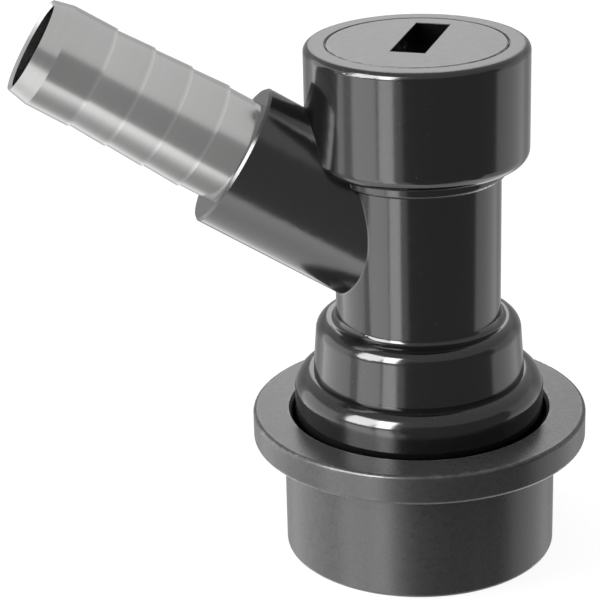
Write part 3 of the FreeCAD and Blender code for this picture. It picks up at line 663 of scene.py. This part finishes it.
def make_world(studio):
    """A white room with a dimmer ceiling, backdrop and ground and a dark side, as glossy surfaces see it.

    Matt surfaces get a share of it, and camera rays see plain white. Each limit below is a pair, where a
    change begins and where it is complete, for a direction's height or for how far it faces an azimuth.
    """
    ceiling, low_room, ground = (0.34, 0.44), (-0.1, -0.3), (-0.68, -0.95)
    backdrop_sides, backdrop_top = (0.6, 0.8), (0.45, 0.3)
    dark_sides, dark_top = (0.57, 0.63), (0.44, 0.34)
    world = bpy.data.worlds.new("studio")
    bpy.context.scene.world = world
    world.use_nodes = True
    graph = Graph(world.node_tree)
    path = graph.add("ShaderNodeLightPath").outputs
    towards = graph.add("ShaderNodeTexCoord").outputs["Generated"]
    height = graph.add("ShaderNodeSeparateXYZ", {0: towards}).outputs[2]

    def region(azimuth, sides, top):
        """1 for directions that face an azimuth to the right of the camera and lie below a height."""
        heading = beside_camera(studio, azimuth, 0.0, 1.0) - AIM
        facing = graph.add(
            "ShaderNodeVectorMath", {0: towards, 1: heading}, operation="DOT_PRODUCT").outputs["Value"]
        return graph.math("MULTIPLY", graph.ramp(facing, *sides), graph.ramp(height, *top))

    level = graph.ramp(height, *ceiling, 1.0, studio.sky_level)
    level = graph.mix(graph.ramp(height, *low_room), level, studio.low_level)
    level = graph.mix(region(180, backdrop_sides, backdrop_top), level, studio.backdrop_level)
    level = graph.mix(graph.ramp(height, *ground), level, studio.ground_level)
    level = graph.mix(region(DARK_AZIMUTH, dark_sides, dark_top), level, studio.dark_level)
    shiny = graph.math("MAXIMUM", path["Is Glossy Ray"], path["Is Transmission Ray"])
    strength = graph.math("MULTIPLY", level, graph.mix(shiny, studio.ambient_level, 1.0))
    strength = graph.math("MAXIMUM", strength, path["Is Camera Ray"])
    back = graph.add("ShaderNodeBackground", {"Color": (1, 1, 1, 1), "Strength": strength}).outputs[0]
    output = graph.add("ShaderNodeOutputWorld")
    graph.fill(output.inputs["Surface"], back)


def make_lamps(studio):
    """The windows and soft lamps round the coupling, their widths and heights in metres.

    The brightest shine on the mouldings alone, so that the steel tail keeps its soft bands.
    """
    mouldings = bpy.data.collections.new("mouldings")
    for name in MOULDINGS:
        mouldings.objects.link(NODES[name])
    for_gloss = {"gloss": True, "diffuse": False, "only": mouldings}
    soft = {"gloss": False, "diffuse": True}
    window_rise, glint_distance = 24, LAMP_DISTANCE * 0.98
    for name, near_edge, far_edge, strength in WINDOWS:
        azimuth = -(near_edge + far_edge) / 2
        width = 2 * LAMP_DISTANCE * math.tan(math.radians(far_edge - near_edge) / 2)
        level = studio.window_level * strength
        low = beside_camera(studio, azimuth, -22, LAMP_DISTANCE)
        lamp(name + "_low", low, width, 0.40, level, **for_gloss)
        high = beside_camera(studio, azimuth, window_rise, LAMP_DISTANCE)
        lamp(name + "_high", high, width, 0.75, level * 0.8, gloss=True, diffuse=True, only=mouldings)
        glint = beside_camera(studio, azimuth, window_rise, glint_distance)
        lamp(name + "_glint", glint, width, 0.60, studio.glint_level * strength, **for_gloss)
    side = beside_camera(studio, -104, 0, LAMP_DISTANCE)
    lamp("side_window", side, 0.75, 0.75, studio.side_level, gloss=True, diffuse=False)
    fill = beside_camera(studio, -85, 10, LAMP_DISTANCE)
    lamp("left_fill", fill, 0.75, 0.75, studio.fill_level, **soft)
    back = beside_camera(studio, -178, 30, LAMP_DISTANCE)
    lamp("back_window", back, 0.26, 0.5, studio.back_level, **for_gloss)
    lamp("ground_glow", Vector((0, 0, -0.77)), 1.7, 1.7, studio.low_level, **for_gloss)
    top = beside_camera(studio, 170, 80, LAMP_DISTANCE)
    lamp("top_lamp", top, 1.0, 1.0, studio.top_level, **soft)
    lamp("floor_bounce", Vector((0, 0, -0.5)), 1.2, 1.2, studio.bounce_level, **soft)


# Operators: one for each piece or group, and one for the studio


class DressBody(bpy.types.Operator):
    """Give the moulded body its glossy and satin surfaces"""

    bl_idname = "coupling.dress_body"
    bl_label = "Body"

    def execute(self, context):
        dress(["valve_body"], body_finish(context.scene.coupling_finishes))
        return {"FINISHED"}


class DressCap(bpy.types.Operator):
    """Give the slotted cap its satin top"""

    bl_idname = "coupling.dress_cap"
    bl_label = "Cap"

    def execute(self, context):
        dress(["top_cap"], cap_finish(context.scene.coupling_finishes))
        return {"FINISHED"}


class DressCollar(bpy.types.Operator):
    """Give the sliding collar its satin moulding"""

    bl_idname = "coupling.dress_collar"
    bl_label = "Sliding collar"

    def execute(self, context):
        dress(["locking_collar"], collar_finish(context.scene.coupling_finishes))
        return {"FINISHED"}


class DressHoseTail(bpy.types.Operator):
    """Give the hose tail its turned stainless steel"""

    bl_idname = "coupling.dress_hose_tail"
    bl_label = "Hose tail"

    def execute(self, context):
        dress(["hose_tail"], steel_finish(context.scene.coupling_finishes))
        return {"FINISHED"}


class DressValve(bpy.types.Operator):
    """Give the poppet and the rubber rings their finishes"""

    bl_idname = "coupling.dress_valve"
    bl_label = "Poppet and rings"

    def execute(self, context):
        finishes = context.scene.coupling_finishes
        dress(["poppet"], dull_moulding("valve_moulding", finishes.valve_colour, 0.38))
        rings = ["cap_o_ring", "tail_o_ring", "poppet_seal"]
        dress(rings, dull_moulding("sealing_rubber", finishes.rubber_colour, 0.55))
        return {"FINISHED"}


class DressLock(bpy.types.Operator):
    """Give the locking balls and the retaining ring their bright steel"""

    bl_idname = "coupling.dress_lock"
    bl_label = "Locking balls and ring"

    def execute(self, context):
        finishes = context.scene.coupling_finishes
        dress(BALLS, bright_metal("ground_steel", finishes.steel_colour, 0.08))
        dress(["collar_retaining_ring"], bright_metal("ring_steel", finishes.spring_colour, 0.25))
        return {"FINISHED"}


class WindSprings(bpy.types.Operator):
    """Wind the two coil springs"""

    bl_idname = "coupling.wind_springs"
    bl_label = "Springs"

    def execute(self, context):
        springs = context.scene.coupling_springs
        wire = bright_metal("spring_wire", context.scene.coupling_finishes.spring_colour, 0.22)
        collar = stand_in_spring(
            "collar_spring", "wound_collar_spring", springs.collar_wire, springs.collar_turns)
        poppet = stand_in_spring(
            "poppet_spring", "wound_poppet_spring", springs.poppet_wire, springs.poppet_turns)
        for spring in (collar, poppet):
            spring.data.materials.append(wire)
        return {"FINISHED"}


class SetStage(bpy.types.Operator):
    """Set up the floor, room, lamps and camera"""

    bl_idname = "coupling.set_stage"
    bl_label = "Studio"

    def execute(self, context):
        studio = context.scene.coupling_studio
        make_camera(studio)
        make_floor(studio)
        make_world(studio)
        make_lamps(studio)
        context.scene.view_settings.view_transform = "Standard"
        return {"FINISHED"}


class CouplingPanel(bpy.types.Panel):
    """Pieces, finishes and studio of the coupling"""

    bl_idname = "VIEW3D_PT_coupling"
    bl_label = "Quick coupling"
    bl_space_type = "VIEW_3D"
    bl_region_type = "UI"
    bl_category = "Coupling"

    def draw(self, context):
        for operator in OPERATORS:
            self.layout.operator(operator.bl_idname)
        for holder in GROUPS:
            settings = getattr(context.scene, holder)
            box = self.layout.box()
            for key in settings.bl_rna.properties.keys():
                if key not in ("rna_type", "name"):
                    box.prop(settings, key)


OPERATORS = (DressBody, DressCap, DressCollar, DressHoseTail, DressValve, DressLock, WindSprings, SetStage)
GROUPS = {"coupling_finishes": CouplingFinishes, "coupling_springs": CouplingSprings,
          "coupling_studio": CouplingStudio}
EFFECTS = (make_place, make_grain, make_rim_wear, make_dust, make_turned_lines)


def register():
    """Register the classes and hang the settings on the scene."""
    for kind in (*GROUPS.values(), *OPERATORS, CouplingPanel):
        bpy.utils.register_class(kind)
    for holder, kind in GROUPS.items():
        setattr(bpy.types.Scene, holder, PointerProperty(type=kind))


def unregister():
    """Take the settings and classes away again."""
    for holder in GROUPS:
        delattr(bpy.types.Scene, holder)
    for kind in reversed((*GROUPS.values(), *OPERATORS, CouplingPanel)):
        bpy.utils.unregister_class(kind)


def main():
    """Build everything round the frame."""
    register()
    for make_effect in EFFECTS:
        make_effect()
    for operator in OPERATORS:
        group, name = operator.bl_idname.split(".")
        getattr(getattr(bpy.ops, group), name)()


if __name__ == "__main__":
    main()
